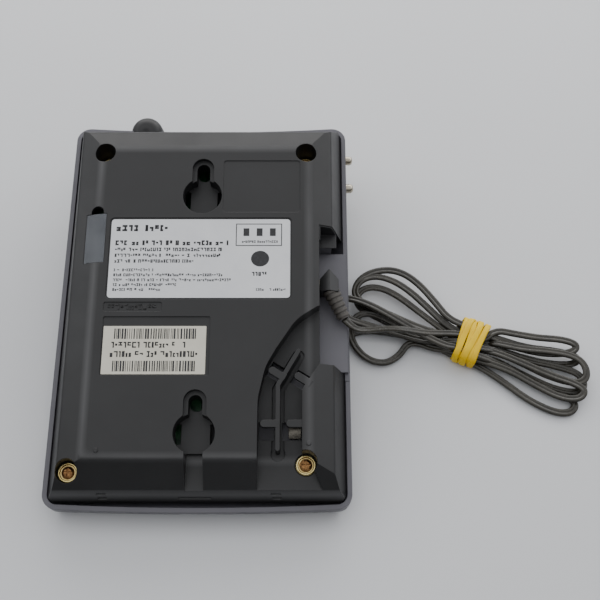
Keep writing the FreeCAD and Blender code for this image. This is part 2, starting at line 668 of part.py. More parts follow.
def socket_bezel():
    """Thin black liner of the notch's rear end, round the line socket's mouth."""
    (y0, y1), (z0, z1) = socket_y, socket_z
    skin, low = 0.5, crest_z + wall + 0.05
    liner = box(notch_x + 0.1, half_w, panel_rear + fit, notch_rear - 0.1, low, 30)
    liner = liner.cut(box(notch_x + 0.1 + skin, half_w + 1, panel_rear, notch_rear - 0.1 - skin, low + 0.4, 31))
    return liner.cut(box(notch_x, notch_x + 1, y0 - 0.2, y1 + 0.2, z0 - 0.1, z1 + 0.1)).common(bowl(0.3))


def jack_board():
    return box(39.2, 40.8, -1.4, 36.0, 9.0, 17.0)


def speaker():
    x, y = speaker_at
    z = face_inner + 0.1
    frame = Part.makeCone(speaker_radius, speaker_radius * 0.62, 3.6, V(x, y, z))
    magnet = rod(x, y, z + 3.6, z + 7.6, speaker_radius * 0.52)
    rim = rod(x, y, z, z + 0.9, speaker_radius)
    return fuse([frame, magnet, rim]).cut(Part.makeCone(speaker_radius * 0.84, 5.0, 2.8, V(x, y, z - 0.1)))


def lcd_window():
    return centred(window_at, window_size, -face_depth + 0.15, -face_depth + 1.2, 1.5)


def lcd_module():
    return centred(window_at, window_size, face_inner + 0.1, face_inner + 4.6, 0.5, 0.6)


def message_lamp():
    bar = centred((-37.0, 34.5), (16.0, 3.0), -face_depth - 0.3, face_inner + 0.6, 1.2)
    foot = centred((-37.0, 34.5), (18.0, 5.0), face_inner + 0.05, face_inner + 1.0, 0.8)
    return bar.fuse(foot)


def microphone():
    return rod(-42.0, -88.5, face_inner + 0.1, face_inner + 4.6, 3.0)


def charge_contact(x, y):
    """Sprung contact that stands out of the cradle's floor, with a foot above the floor."""
    floor = cradle_shallow + (crest_z - cradle_shallow) * (y - cradle_front) / (crest_y - cradle_front)
    pad = rounded_box(x - 1.6, x + 1.6, y - 4.0, y + 4.0, floor - contact_travel, floor + 3.6, 1.0)
    pad = pad.makeFillet(0.7, [e for e in pad.Edges if e.BoundBox.ZMax < floor - contact_travel + 0.01])
    foot = rounded_box(x - 2.8, x + 2.8, y - 5.4, y + 5.4, floor + 3.0, floor + 4.0, 1.0)
    return pad.fuse(foot).removeSplitter()


# --- power plug ---------------------------------------------------------------------------
plug_x = notch_x + 0.3


def dc_plug():
    """Angled plug body: a house-shaped plan under a ridged roof."""
    w, l, h = plug_size
    x0, x1, middle = plug_x, plug_x + w, plug_x + w / 2
    low, y0 = plug_z - h / 2, plug_y - l / 2
    outline = [(x0, y0), (x1, y0), (x1, y0 + l * 0.66), (middle, y0 + l + 1.6), (x0, y0 + l * 0.66)]
    block = prism(outline, low, low + h + 2, 0.7)
    roof = [V(x0 - 1, -50, low - 1), V(x1 + 1, -50, low - 1), V(x1 + 1, -50, low + h - 2.4), V(middle, -50, low + h),
            V(x0 - 1, -50, low + h - 2.4)]
    return block.common(Part.Face(corner_arcs(roof, [0, 0, 0, 1.0, 0])).extrude(V(0, 120, 0)))


def plug_barrel():
    y, z = plug_y, plug_z
    return rod_x(45.4, plug_x, y, z, barrel_radius).cut(rod_x(45.0, 54.0, y, z, 1.2))


relief_root = V(plug_x + 5.2, plug_y - 3.0, plug_z)
relief_tip = V(67.4, -10.4, 6.4)


def cord_sleeve(root, end, wide, narrow, ribs):
    """Ribbed sleeve that tapers along its axis, cut into steps by shallow grooves."""
    length = (end - root).Length
    pitch = length / ribs
    profile = [V(0, 0, 0)]
    for i in range(ribs):
        radius = wide + (narrow - wide) * i / ribs
        thinner = wide + (narrow - wide) * (i + 1) / ribs
        z = i * pitch
        profile += [V(radius, 0, z), V((radius + thinner) / 2, 0, z + pitch * 0.62),
                    V(thinner - 0.55, 0, z + pitch * 0.66), V(thinner - 0.55, 0, z + pitch * 0.98)]
    profile += [V(0, 0, length)]
    sleeve = Part.Face(corner_arcs(profile, [0] * len(profile))).revolve(V(0, 0, 0), V(0, 0, 1), 360)
    sleeve.Placement = FreeCAD.Placement(root, FreeCAD.Rotation(V(0, 0, 1), end - root)).multiply(sleeve.Placement)
    return sleeve


# --- adapter, in the table's frame --------------------------------------------------------
def adapter_block(inset, low, high):
    """The adapter's rounded outside, drawn in by inset, between two planes across x."""
    (x0, x1), (y0, y1) = adapter_x, adapter_y_table
    block = box(x0 + inset, x1 - inset, y0 + inset, y1 - inset, inset, adapter_height - inset)
    block = block.makeFillet(max(adapter_round - inset, 0.8), block.Edges)
    return block.common(box(low, high, y0 - 5, y1 + 5, -5, adapter_height + 5))


def adapter_body():
    shell = adapter_block(0, -100, adapter_split - 0.1).cut(adapter_block(adapter_wall, -100, 200))
    y0 = adapter_y_table[0]
    exits = rod_y(adapter_relief_x, y0 - 2, y0 + 6, adapter_relief_z, 2.6)
    holes = [rod_x(adapter_x[0] - 1, adapter_x[0] + 1.6, y, z, 3.1) for y, z in adapter_screw_places]
    holes += [rod_x(adapter_x[0] - 1, adapter_x[0] + 8, y, z, 1.4) for y, z in adapter_screw_places]
    return cut(shell, [exits] + holes)


def adapter_cover():
    shell = adapter_block(0, adapter_split, 200).cut(adapter_block(adapter_wall, adapter_split - 5, 200))
    holes = [rod_x(adapter_x[1] - 8, adapter_x[1] + 1, y, pin_z, pin_root_radius + 0.02) for y in pin_places]
    return cut(shell, holes)


def adapter_pins():
    pins = []
    for y in pin_places:
        pin = rod_x(adapter_x[1] + 0.02, adapter_x[1] + pin_length, y, pin_z, pin_radius)
        tip_edge = [e for e in pin.Edges if e.BoundBox.XMin > adapter_x[1] + pin_length - 0.01]
        root = rod_x(adapter_x[1] - 4.4, adapter_x[1] + 1, y, pin_z, pin_root_radius)
        pins.append(pin.makeFillet(1.7, tip_edge).fuse(root))
    return group(pins)


def adapter_screws():
    screws = []
    for y, z in adapter_screw_places:
        head = rod_x(adapter_x[0] + 0.4, adapter_x[0] + 1.6, y, z, 2.8)
        screws.append(head.fuse(rod_x(adapter_x[0] + 1.5, adapter_x[0] + 9.0, y, z, 1.35)))
    return group(screws)


def transformer_core():
    """Laminated core with two windows either side of its middle limb."""
    x, y, z = core_centre
    block = box(x - 13, x + 13, y - 19, y + 19, z - 8, z + 8)
    return block.cut(group([box(x - 8.5, x + 8.5, y + s * 9.2 - 4.6, y + s * 9.2 + 4.6, z - 9, z + 9) for s in (-1, 1)]))


def transformer_coil():
    """Winding round the middle limb, standing out of the core on both faces."""
    x, y, z = core_centre
    ring = rounded_box(x - 8.2, x + 8.2, y - 13.4, y + 13.4, z - 13, z + 13, 2.0)
    limb = box(x - 9, x + 9, y - 4.8, y + 4.8, z - 8.2, z + 8.2)
    return ring.cut(limb)


def rectifier_board():
    y0 = adapter_y_table[0] + adapter_wall
    plate = box(19.5, 46, y0 + 6.0, y0 + 7.4, 14.5, 33.0)
    diodes = [rod(22 + 5 * i, y0 + 8.6, 17, 22, 1.3) for i in range(3)]
    return fuse([plate, rod(40, y0 + 10.2, 18, 29, 3.0)] + diodes)


def adapter_relief():
    """Ribbed sleeve out of the adapter's front, with its root inside the wall."""
    y0 = adapter_y_table[0]
    sleeve = cord_sleeve(V(adapter_relief_x, y0, adapter_relief_z),
                         V(adapter_relief_x, y0 - adapter_relief_length, adapter_relief_z), 3.9, 2.7, 5)
    return fuse([sleeve, rod_y(adapter_relief_x, y0 - 0.5, y0 + adapter_wall + 0.2, adapter_relief_z, 2.55),
                 rod_y(adapter_relief_x, y0 + adapter_wall + 0.05, y0 + adapter_wall + 1.4, adapter_relief_z, 4.0)])


# --- cord ---------------------------------------------------------------------------------
def cord_wire(points):
    """Straight runs joined by tangent arcs as large as the runs allow; also gives the radii."""
    edges, radii, start = [], [], points[0]
    for before, corner, after in zip(points, points[1:], points[2:]):
        back, on = (before - corner).normalize(), (after - corner).normalize()
        turn = math.pi - back.getAngle(on)
        reach = 0.45 * min((before - corner).Length, (after - corner).Length)
        radius = reach / math.tan(turn / 2)
        first, last = corner + back * reach, corner + on * reach
        toward = (back + on).normalize()
        middle = corner + toward * (radius / math.cos(turn / 2) - radius)
        edges += [Part.LineSegment(start, first).toShape(), Part.Arc(first, middle, last).toShape()]
        start = last
        radii.append(round(radius, 1))
    edges.append(Part.LineSegment(start, points[-1]).toShape())
    return Part.Wire(edges), radii


def cord_tube(points, radius):
    wire, radii = cord_wire(points)
    section = Part.Wire(Part.makeCircle(radius, points[0], points[1] - points[0]))
    tube_shape = wire.makePipeShell([section], True, False)
    share = tube_shape.Volume / (math.pi * radius ** 2 * wire.Length)
    print("cord", round(wire.Length, 1), "mm, radii", radii, "volume share", round(share, 3))
    return tube_shape


cord_core = (cord_width + cord_thickness) / 4
plug_lead_points = [(74.5, -24.0, 27.5), (86.0, -19.0, 19.5), (99.0, -14.5, 12.5)]
adapter_lead_points = [(30.0, -3.0, 5.4), (36.5, -15.0, 2.3), (50.0, -19.5, 1.6), (64.0, -15.0, 1.6), (77.0, -7.0, 1.6)]
plug_lead_end = V(113.0, -14.5, 7.4)
adapter_lead_end = V(92.0, -6.0, 2.6)
hank_low, hank_high = 1.0, 9.2
hank_outline = [
    (72.0, -8.0), (72.6, 8.0), (80.0, 20.5), (92.0, 25.6), (104.0, 18.5), (117.0, 3.0), (128.5, -6.0),
    (140.0, -8.6), (160.0, -12.4), (181.0, -15.0), (189.4, -29.5), (186.0, -46.0), (175.0, -53.6),
    (157.0, -44.5), (143.0, -29.5), (130.0, -27.0), (117.0, -23.5), (101.0, -24.0), (86.0, -26.5), (75.0, -20.0),
]
band_centre = (131.4, -16.4)
band_turn = -24.0         # the band's width runs along the strands
band_length = 13.0
band_sheet = 0.9
waist_half = 10.8
waist_round = 2.8


def band_frame(shape):
    shape.rotate(V(0, 0, 0), V(0, 0, 1), band_turn)
    shape.translate(V(*band_centre, 0))
    return shape


def waist(length, grow):
    """Flattened round bar along the strands at the band, drawn out by grow."""
    half = waist_half + grow
    bar = box(-length / 2, length / 2, -half, half, hank_low - grow, hank_high + grow)
    along = [e for e in bar.Edges if abs(e.Vertexes[0].X - e.Vertexes[1].X) > 1]
    return bar.makeFillet(waist_round + grow, along)


def rubber_band():
    """Flat ring round the hank's waist."""
    return band_frame(waist(band_length, band_sheet).cut(waist(band_length + 2, 0)))


def cord_hank():
    """Outer shape of the tied hank: two loose ends of loops and a waist under the band."""
    body = prism(hank_outline, hank_low, hank_high, 3.0)
    reach = band_length / 2 + 0.3
    gap = band_frame(box(-reach, reach, -60, 60, -5, 30))
    return body.cut(gap).fuse(band_frame(waist(2 * reach + 0.2, -0.15))).removeSplitter()


# --- the pieces ---------------------------------------------------------------------------
upper = upper_case()
stub = antenna_solid(0)
rest_box = tip(upper, V(0, 0, 0)).optimalBoundingBox(True, False)
stub_box = tip(stub, V(0, 0, 0)).optimalBoundingBox(True, False)
base_up = -rest_box.ZMin
base_forward = -(rest_box.YMin + max(rest_box.YMax, stub_box.YMax)) / 2
adapter_y_table = tuple(y + base_forward for y in adapter_y)
adapter_split = adapter_x[1] - 9.0
pin_z = adapter_height / 2
pin_places = [adapter_y_table[1] - pin_setback + side * pin_spacing / 2 for side in (-1, 1)]
adapter_screw_places = [(adapter_y_table[0] + 8, adapter_height - 8), (adapter_y_table[1] - 8, 8.0)]
core_centre = (30.0, (adapter_y_table[0] + adapter_y_table[1]) / 2 + 5.0, adapter_height / 2)

save("lower_case", lower_case())
save("upper_case", upper)
save("side_panel", side_panel())
save("antenna_stub", stub)
save("case_screws", group([case_screw(*well) for well in wells]))
save("rating_label", label(rating_label_at, rating_label_size, 1.6))
save("serial_label", label(serial_label_at, serial_label_size, 0.4))
save("seal_sticker", seal_film(0.02, 0.02 + seal_thickness, 0.0))
save("key_mat", key_mat())
save("main_board", main_board())
save("board_screws", board_screws())
save("radio_can", radio_can())
save("dc_jack", dc_jack())
save("line_jack", line_jack())
save("socket_bezel", socket_bezel())
save("jack_board", jack_board())
save("speaker", speaker())
save("microphone", microphone())
save("lcd_window", lcd_window())
save("lcd_module", lcd_module())
save("message_lamp", message_lamp())
save("volume_rocker", volume_rocker())
for node, place in all_keys.items():
    save(node, key(*place))
for node, place in contact_places.items():
    save(node, charge_contact(*place))

plug_body = dc_plug()
save("dc_plug", plug_body)
save("plug_barrel", plug_barrel())
sleeve = cord_sleeve(relief_root, relief_tip, 4.2, 3.1, 6).cut(plug_body)
save("plug_sleeve", max(sleeve.Solids, key=lambda s: s.Volume))
save("adapter_body", adapter_body(), False)
save("adapter_cover", adapter_cover(), False)
save("adapter_pins", adapter_pins(), False)
save("adapter_screws", adapter_screws(), False)
save("adapter_sleeve", adapter_relief(), False)
save("transformer_core", transformer_core(), False)
save("transformer_coil", transformer_coil(), False)
save("rectifier_board", rectifier_board(), False)

lead_start = tip_point(relief_tip.x, relief_tip.y, relief_tip.z)
adapter_start = V(adapter_relief_x, adapter_y_table[0] - adapter_relief_length, adapter_relief_z)
plug_route = [lead_start] + [V(*p) for p in plug_lead_points] + [plug_lead_end]
adapter_route = [adapter_start] + [V(*p) for p in adapter_lead_points] + [adapter_lead_end]
hank = cord_hank()
save("plug_lead", cord_tube(plug_route, cord_core).cut([hank, built["plug_sleeve"]]), False)
save("adapter_lead", cord_tube(adapter_route, cord_core).cut([hank, built["adapter_sleeve"]]), False)
save("cord_hank", hank, False)
save("rubber_band", rubber_band(), False)
print("leads start at", lead_start, adapter_start)
print("tilt", math.degrees(tilt), "up", base_up, "forward", base_forward, "nodes", len(built))
for node, shape in built.items():
    if not shape.isValid() or len(shape.Solids) != 1:
        print(node, shape.isValid(), len(shape.Solids), round(shape.Volume))
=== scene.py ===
"""Cordless phone base, underside up on its wall adapter, with the adapter's flat cord tied in
a hank by a rubber band. Lengths are in metres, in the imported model's frame."""
import json
import math
import bmesh
import bpy
import numpy as np
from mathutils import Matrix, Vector


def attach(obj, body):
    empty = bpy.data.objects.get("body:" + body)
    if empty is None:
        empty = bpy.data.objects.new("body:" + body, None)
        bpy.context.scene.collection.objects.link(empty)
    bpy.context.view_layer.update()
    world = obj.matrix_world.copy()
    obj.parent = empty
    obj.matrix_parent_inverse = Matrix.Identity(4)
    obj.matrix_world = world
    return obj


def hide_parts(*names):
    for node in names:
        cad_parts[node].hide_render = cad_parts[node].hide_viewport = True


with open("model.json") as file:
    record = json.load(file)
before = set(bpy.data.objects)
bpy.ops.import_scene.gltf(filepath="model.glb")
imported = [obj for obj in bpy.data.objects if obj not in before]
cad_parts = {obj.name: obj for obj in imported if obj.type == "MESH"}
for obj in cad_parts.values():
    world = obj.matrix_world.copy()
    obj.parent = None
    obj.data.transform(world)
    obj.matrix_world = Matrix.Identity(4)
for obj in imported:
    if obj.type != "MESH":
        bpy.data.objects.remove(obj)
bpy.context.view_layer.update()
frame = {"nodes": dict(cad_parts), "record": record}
MM = 0.001
scene = bpy.context.scene

# How the base lies: its own frame is tipped by the tilt, with its origin at forward and lift. In
# that frame the plateau between the casing's slopes leans by the slope, from the plateau's height.
tilt, lift, forward = math.radians(9.09308), 27.18635 * MM, -6.71414 * MM
slope, plateau = math.atan(7.0 / 152.5), 20.149 * MM
table_gap = 0.05 * MM

# --- camera, floor and light --------------------------------------------------------------
camera_place = Vector((0.04636, -0.24297, 0.42475))
camera_tilt = math.radians(90.0 - 59.07)

camera_data = bpy.data.cameras.new("camera")
camera_data.lens = 57.0
camera_data.sensor_width = 36.0
camera_data.clip_start = 0.01
camera = bpy.data.objects.new("camera", camera_data)
camera.location = camera_place
camera.rotation_euler = (camera_tilt, 0.0, 0.0)
scene.collection.objects.link(camera)
scene.camera = camera


def area_light(name, place, aim, size, watts, colour):
    """Rectangular soft box at place, facing aim."""
    data = bpy.data.lights.new(name, "AREA")
    data.shape = "RECTANGLE"
    data.size, data.size_y = size
    data.energy = watts
    data.color = colour
    lamp = bpy.data.objects.new(name, data)
    lamp.location = place
    lamp.rotation_euler = (Vector(aim) - Vector(place)).to_track_quat("-Z", "Y").to_euler()
    scene.collection.objects.link(lamp)


warm_white, cool_white = (1.0, 0.985, 0.97), (0.95, 0.97, 1.0)
area_light("rear_box", (0.12, 0.70, 0.40), (0.08, 0.2, 0.0), (1.4, 0.4), 5.0, warm_white)
area_light("left_box", (-0.75, 0.25, 0.7), (0.0, 0.0, 0.02), (0.5, 0.5), 1.0, cool_white)
area_light("right_box", (0.8, 0.3, 0.6), (0.0, 0.0, 0.02), (0.5, 0.5), 1.0, cool_white)

world = bpy.data.worlds.new("studio")
scene.world = world
world.use_nodes = True
# The room is brightest overhead and behind, dark on the camera's side.
room = world.node_tree
backdrop = room.nodes["Background"]
backdrop.inputs["Color"].default_value = (0.97, 0.98, 1.0, 1.0)
way = room.nodes.new("ShaderNodeTexCoord")
facing = room.nodes.new("ShaderNodeVectorMath")
facing.operation = "DOT_PRODUCT"
facing.inputs[1].default_value = (0.0, 0.35, 0.94)
spread = room.nodes.new("ShaderNodeMapRange")
spread.interpolation_type = "SMOOTHSTEP"
for socket, value in (("From Min", 0.0), ("From Max", 0.75), ("To Min", 0.10), ("To Max", 1.16)):
    spread.inputs[socket].default_value = value
room.links.new(way.outputs["Generated"], facing.inputs[0])
room.links.new(facing.outputs["Value"], spread.inputs["Value"])
room.links.new(spread.outputs["Result"], backdrop.inputs["Strength"])

# --- node helpers -------------------------------------------------------------------------
dust_colour = (0.5, 0.49, 0.47)
grain_depth, fine_depth = 0.03 * MM, 0.02 * MM


class Finish:
    """A material being built: its nodes, its shader and the piece's own coordinates."""

    def __init__(self, name, colour, roughness, metallic=0.0, specular=0.5):
        self.material = bpy.data.materials.new(name)
        self.material.use_nodes = True
        self.tree = self.material.node_tree
        self.shader = self.tree.nodes["Principled BSDF"]
        self.set("Base Color", (*colour, 1.0))
        self.set("Roughness", roughness)
        self.set("Metallic", metallic)
        self.set("Specular IOR Level", specular)
        self.place = self.node("ShaderNodeTexCoord").outputs["Object"]

    def node(self, kind, **inputs):
        """A new node. An input is named with _ for a space, or by its number after a _."""
        made = self.tree.nodes.new(kind)
        for key, value in inputs.items():
            self.feed(made, key, value)
        return made

    def feed(self, made, key, value):
        numbered = key[0] == "_" and key[1:].isdigit()
        self.join(made.inputs[int(key[1:]) if numbered else key.replace("_", " ")], value)

    def join(self, socket, value):
        """Another node's output is linked to the socket, anything else becomes its value."""
        if isinstance(value, bpy.types.NodeSocket):
            self.tree.links.new(value, socket)
        else:
            socket.default_value = value

    def set(self, name, value):
        self.join(self.shader.inputs[name], value)

    def noise(self, scale, detail=2.0, rough=0.5):
        made = self.node("ShaderNodeTexNoise", Vector=self.place, Scale=scale, Detail=detail,
                         Roughness=rough)
        return made.outputs["Fac"]

    def cells(self, scale):
        made = self.node("ShaderNodeTexVoronoi", Vector=self.place, Scale=scale)
        return made.outputs["Distance"]

    def ramp(self, value, low, high, to_low=0.0, to_high=1.0):
        made = self.node("ShaderNodeMapRange", Value=value, From_Min=low, From_Max=high,
                         To_Min=to_low, To_Max=to_high)
        return made.outputs["Result"]

    def math(self, operation, first, second=0.0):
        made = self.node("ShaderNodeMath", _0=first, _1=second)
        made.operation = operation
        return made.outputs["Value"]

    def mix(self, share, first, second):
        """Colour between two colours. A colour mix has its colours in sockets 6 and 7."""
        made = self.tree.nodes.new("ShaderNodeMix")
        made.data_type = "RGBA"
        self.join(made.inputs[0], share)
        for index, value in ((6, first), (7, second)):
            linked = isinstance(value, bpy.types.NodeSocket)
            self.join(made.inputs[index], value if linked else (*value, 1.0))
        return made.outputs[2]

    def bump(self, height, distance, strength=1.0, under=None):
        made = self.node("ShaderNodeBump", Height=height, Distance=distance, Strength=strength)
        if under is not None:
            self.tree.links.new(under, made.inputs["Normal"])
        return made.outputs["Normal"]

    def soft_edges(self, radius):
        made = self.node("ShaderNodeBevel", Radius=radius)
        made.samples = 4
        return made.outputs["Normal"]


def mottled(name, colour, roughness, scale, dark, light, detail=2.0, edges=(0.3, 0.7)):
    """A finish that drifts between two tones, with the noise cut off at its edges."""
    finish = Finish(name, colour, roughness)
    cloud = finish.ramp(finish.noise(scale, detail), *edges)
    finish.set("Base Color", finish.mix(cloud, dark, light))
    return finish


def moulded_plastic(name, dark, light, roughness, grain, edge=0.4 * MM, dust=0.0):
    """Injection-moulded casing: eroded grain, faint cloudy colour, uneven polish and some dust."""
    finish = Finish(name, dark, roughness)
    cloud = finish.ramp(finish.noise(28.0, 4.0, 0.6), 0.3, 0.7)
    colour = finish.mix(cloud, dark, light)
    fine = finish.noise(grain, 3.0, 0.7)
    colour = finish.mix(finish.ramp(fine, 0.35, 0.75, 0.0, 0.22), colour, light)
    if dust > 0:
        speck = finish.ramp(finish.cells(900.0), 0.0, 0.09, dust, 0.0)
        patch = finish.ramp(finish.noise(60.0, 3.0), 0.5, 0.68)
        colour = finish.mix(finish.math("MULTIPLY", speck, patch), colour, dust_colour)
    finish.set("Base Color", colour)
    wear = finish.noise(45.0, 5.0, 0.65)
    finish.set("Roughness", finish.ramp(wear, 0.3, 0.7, roughness - 0.05, roughness + 0.06))
    rounded = finish.soft_edges(edge)
    finish.set("Normal", finish.bump(fine, grain_depth, 0.9, rounded))
    return finish


def paint_ridge_highlight_and_polish(finish, colour, roughness):
    """Painted highlight and polish along the plateau's rounded rim: the line is painted a lighter
    colour in place of the light that the rounding catches, and its roughness is lowered. The line
    is where the larger of two distances, across to the rim's sides and along to its ends, is near
    nothing."""
    half_width, half_length, setback = 50.5 * MM, 76.0 * MM, 3.0 * MM
    corner, reach = 5.0 * MM, 2.6 * MM
    place = finish.node("ShaderNodeVectorRotate", Vector=finish.place, Angle=-tilt)
    place.rotation_type = "X_AXIS"
    place.inputs["Center"].default_value = (0.0, forward, lift)
    apart = finish.node("ShaderNodeSeparateXYZ", Vector=place.outputs["Vector"])
    across = finish.math("SUBTRACT", finish.math("ABSOLUTE", apart.outputs["X"]), half_width)
    middle = finish.math("ADD", apart.outputs["Y"], setback - forward)
    ahead = finish.math("SUBTRACT", finish.math("ABSOLUTE", middle), half_length)
    larger = finish.node("ShaderNodeMath", _0=across, _1=ahead, _2=corner)
    larger.operation = "SMOOTH_MAX"
    line = finish.ramp(finish.math("ABSOLUTE", larger.outputs["Value"]), 0.0, reach, 1.0, 0.0)
    # The patchy line carries both the painted highlight in the colour and the lower roughness.
    patchy = finish.math("MULTIPLY", line, finish.ramp(finish.noise(35.0, 4.0), 0.25, 0.6, 0.55, 1.0))
    shader = finish.shader
    before = shader.inputs["Base Color"].links[0].from_socket
    finish.set("Base Color", finish.mix(patchy, before, colour))
    before = shader.inputs["Roughness"].links[0].from_socket
    smoother = finish.math("MULTIPLY", finish.math("SUBTRACT", before, roughness), patchy)
    finish.set("Roughness", finish.math("SUBTRACT", before, smoother))


def paint_front_wall_light(finish, colour):
    """Painted light on a casing's front wall: another tone in front of a line across it, fading out
    over the wall's lowest millimetres."""
    apart = finish.node("ShaderNodeSeparateXYZ", Vector=finish.place)
    front = finish.ramp(apart.outputs["Y"], -99.6 * MM, -98.4 * MM, 1.0, 0.0)
    raised = finish.ramp(apart.outputs["Z"], 12.0 * MM, 16.0 * MM)
    before = finish.shader.inputs["Base Color"].links[0].from_socket
    finish.set("Base Color", finish.mix(finish.math("MULTIPLY", front, raised), before, colour))


# --- colours ------------------------------------------------------------------------------
def shade(red, green, blue):
    """Linear colour of a display colour from 0 to 255."""
    values = np.array([red, green, blue]) / 255.0
    return tuple(np.where(values <= 0.04045, values / 12.92, ((values + 0.055) / 1.055) ** 2.4))


floor_finish = mottled("pale_table", shade(205, 206, 208), 0.62, 3.0, shade(203, 204, 206),
                       shade(208, 209, 211))

bpy.ops.mesh.primitive_plane_add(size=6.0, location=(0.0, 0.5, 0.0))
floor = bpy.context.object
floor.name = "table"
floor.data.materials.append(floor_finish.material)

# --- the cord's line ----------------------------------------------------------------------
cord_width, cord_thickness = 3.7 * MM, 1.95 * MM
band_centre = np.array([131.4, -16.4])
band_turn = math.radians(-24.0)
along = np.array([math.cos(band_turn), math.sin(band_turn)])
across = np.array([-math.sin(band_turn), math.cos(band_turn)])

plug_lead = [(67.4, -17.995, 31.862), (71.8, -22.6, 30.0), (78.6, -21.4, 26.4),
             (87.2, -16.6, 19.8), (98.0, -13.2, 13.2), (110.0, -13.6, 9.4)]
adapter_lead = [(108.0, -13.0, 2.2), (92.0, -9.0, 2.0), (77.0, -7.0, 1.7), (64.0, -15.0, 1.6),
                (50.0, -19.5, 1.6), (36.5, -15.0, 2.3), (30.0, -3.0, 5.4), (30.0, 8.886, 9.0)]

# The loops to the right of the band and to its left, in the order that the cord makes them.
right_loops = [
    [(144.5, -10.6, 7.6), (154.0, -13.4, 8.6), (165.5, -15.8, 8.8), (176.5, -16.2, 8.2),
     (184.4, -18.4, 7.2), (183.0, -22.2, 6.2), (173.5, -23.4, 5.4), (161.5, -21.6, 5.0),
     (150.0, -18.0, 5.2)],
    [(147.0, -15.6, 6.4), (159.0, -19.8, 6.0), (173.0, -21.0, 5.0), (184.4, -23.2, 4.0),
     (184.4, -27.2, 2.8), (173.0, -27.6, 2.4), (159.0, -24.2, 2.6), (148.0, -20.4, 3.2)],
    [(146.0, -18.4, 7.4), (158.0, -21.6, 7.6), (171.0, -22.6, 7.6), (182.5, -25.2, 7.4),
     (187.2, -30.4, 6.8), (186.8, -37.2, 6.0), (181.0, -39.6, 5.6), (168.0, -35.6, 5.8),
     (156.0, -28.4, 6.2), (146.0, -23.2, 6.0)],
    [(147.0, -20.8, 4.6), (160.0, -26.0, 4.0), (174.0, -29.0, 3.6), (184.4, -32.6, 3.0),
     (186.6, -38.4, 2.4), (183.0, -43.0, 2.2), (172.0, -41.0, 2.2), (160.0, -34.8, 2.4),
     (148.0, -28.0, 2.8)],
    [(144.5, -22.8, 6.4), (157.0, -29.2, 6.8), (170.0, -35.8, 6.6), (180.5, -39.4, 6.0),
     (185.6, -43.0, 5.2), (182.0, -47.4, 4.4), (173.0, -46.4, 4.2), (161.5, -39.6, 4.4),
     (149.5, -31.4, 4.8)],
    [(144.5, -25.8, 3.6), (156.0, -33.8, 3.0), (167.0, -40.4, 2.4), (177.0, -44.8, 2.1),
     (181.0, -49.0, 1.9), (177.4, -53.6, 1.8), (169.0, -53.0, 1.8), (157.0, -46.2, 2.0),
     (145.5, -35.8, 2.2)],
]
left_loops = [
    [(121.0, -3.6, 7.8), (115.4, 5.0, 8.4), (108.2, 15.4, 8.6), (101.0, 22.2, 8.4),
     (93.4, 25.2, 8.0), (84.6, 24.4, 7.4), (77.6, 20.4, 6.6), (74.2, 13.6, 5.6), (77.4, 7.0, 4.6),
     (88.0, 1.4, 3.8), (102.0, -6.4, 3.6), (115.0, -12.6, 3.8)],
    [(119.0, -5.6, 6.2), (111.0, 4.0, 6.4), (102.0, 14.0, 6.6), (93.0, 20.2, 6.8),
     (84.2, 22.0, 7.0), (76.6, 18.4, 7.0), (74.0, 11.2, 6.6), (79.0, 5.0, 6.2), (90.0, 0.2, 6.2),
     (103.0, -6.8, 6.2), (115.0, -12.0, 6.2)],
    [(118.0, -8.6, 5.0), (107.0, 2.0, 4.4), (97.0, 11.4, 4.4), (88.0, 16.6, 4.4),
     (79.6, 16.4, 4.2), (75.0, 10.8, 3.8), (77.0, 4.4, 3.2), (86.0, -0.6, 2.6), (98.0, -7.4, 2.4),
     (111.0, -14.2, 2.4)],
    [(118.6, -19.8, 8.2), (108.0, -14.6, 9.6), (97.0, -7.6, 10.6), (86.0, -0.4, 11.2),
     (76.8, 4.4, 11.2), (69.0, 6.6, 10.6), (66.2, 0.8, 9.6), (70.6, -4.8, 8.4), (81.0, -7.8, 7.2),
     (95.0, -11.8, 6.2), (110.0, -16.4, 5.6)],
    [(113.0, -18.8, 3.2), (105.4, -15.8, 4.0), (100.0, -16.6, 3.8), (96.0, -22.6, 2.4),
     (89.0, -26.6, 1.9), (81.4, -25.0, 1.9), (75.2, -19.4, 2.0), (71.6, -11.0, 2.6),
     (72.6, -2.6, 3.6), (80.0, 2.0, 4.4), (90.0, -2.4, 4.6), (102.0, -10.0, 4.4),
     (114.0, -15.8, 4.0)],
]
# Each pass through the band: its place across the bundle and the height of its layer.
bundle = [(2.0, 7.4), (6.9, 7.3), (7.6, 5.0), (3.0, 5.1), (4.6, 2.9), (0.2, 2.6), (-2.4, 7.4),
          (-6.4, 7.2), (-1.4, 5.0), (-7.4, 4.9), (-5.4, 2.8), (-9.0, 2.7)]


def spot(forward, sideways, height):
    """Place from its distances along and across the band's line."""
    x, y = band_centre + along * forward + across * sideways
    return (x, y, height)


def hank_points():
    """The whole hank: the passes through the band joined by right and left loops in turn."""
    points = []
    for number, place in enumerate(bundle):
        heading = 1.0 if number % 2 == 0 else -1.0
        points += [spot(-6.0 * heading, *place), spot(6.0 * heading, *place)]
        if number + 1 < len(bundle):
            points += right_loops[number // 2] if heading > 0 else left_loops[number // 2]
    return points


